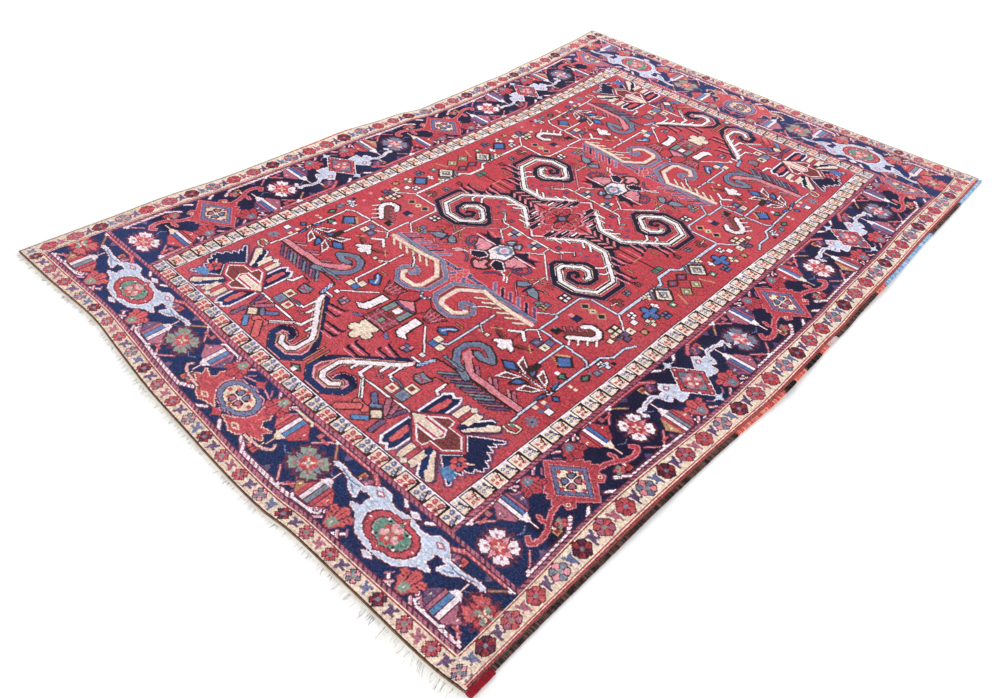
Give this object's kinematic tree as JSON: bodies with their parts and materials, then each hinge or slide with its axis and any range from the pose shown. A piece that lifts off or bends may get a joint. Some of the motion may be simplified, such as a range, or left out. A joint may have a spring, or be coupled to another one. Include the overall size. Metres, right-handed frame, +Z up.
{
  "type": "persian rug",
  "caption": "Hand-knotted wool pile floor rug with red field, navy main border, overcast sides and short worn cotton fringes, lying flat.",
  "frame": {"origin": "middle of the flat underside, on the floor", "axes": "+Z up out of the pile, +Y along the length from the near end to the far end, +X across to the long side with the many-coloured repaired selvedge"},
  "size_m": [2.1868, 3.2781, 0.0189],
  "materials": {
    "wool_pile": "short cut wool pile, matt, red field with navy border",
    "warp_cotton": "undyed cotton warp, matt",
    "red_yarn": "wrapped wool yarn",
    "coral_yarn": "wrapped wool yarn",
    "brown_yarn": "wrapped wool yarn",
    "black_yarn": "wrapped wool yarn",
    "light_blue_yarn": "wrapped wool yarn",
    "pale_blue_yarn": "wrapped wool yarn",
    "grey_brown_yarn": "wrapped wool yarn, worn"
  },
  "bodies": {
    "root": {"rug": "wool_pile", "end_near": "warp_cotton", "end_far": "warp_cotton", "selvedge_left_grey_near": "grey_brown_yarn", "selvedge_left_coral": "coral_yarn", "selvedge_left_grey_far": "grey_brown_yarn", "selvedge_right_knot": "red_yarn", "selvedge_right_brown_near": "brown_yarn", "selvedge_right_coral_near": "coral_yarn", "selvedge_right_black_near": "black_yarn", "selvedge_right_coral_short": "coral_yarn", "selvedge_right_black_mid": "black_yarn", "selvedge_right_coral_mid": "coral_yarn", "selvedge_right_pale_mid": "pale_blue_yarn", "selvedge_right_brown_mid": "brown_yarn", "selvedge_right_coral_far": "coral_yarn", "selvedge_right_blue_mid": "light_blue_yarn", "selvedge_right_brown_far": "brown_yarn", "selvedge_right_blue_far": "light_blue_yarn"}
  },
  "joints": []
}
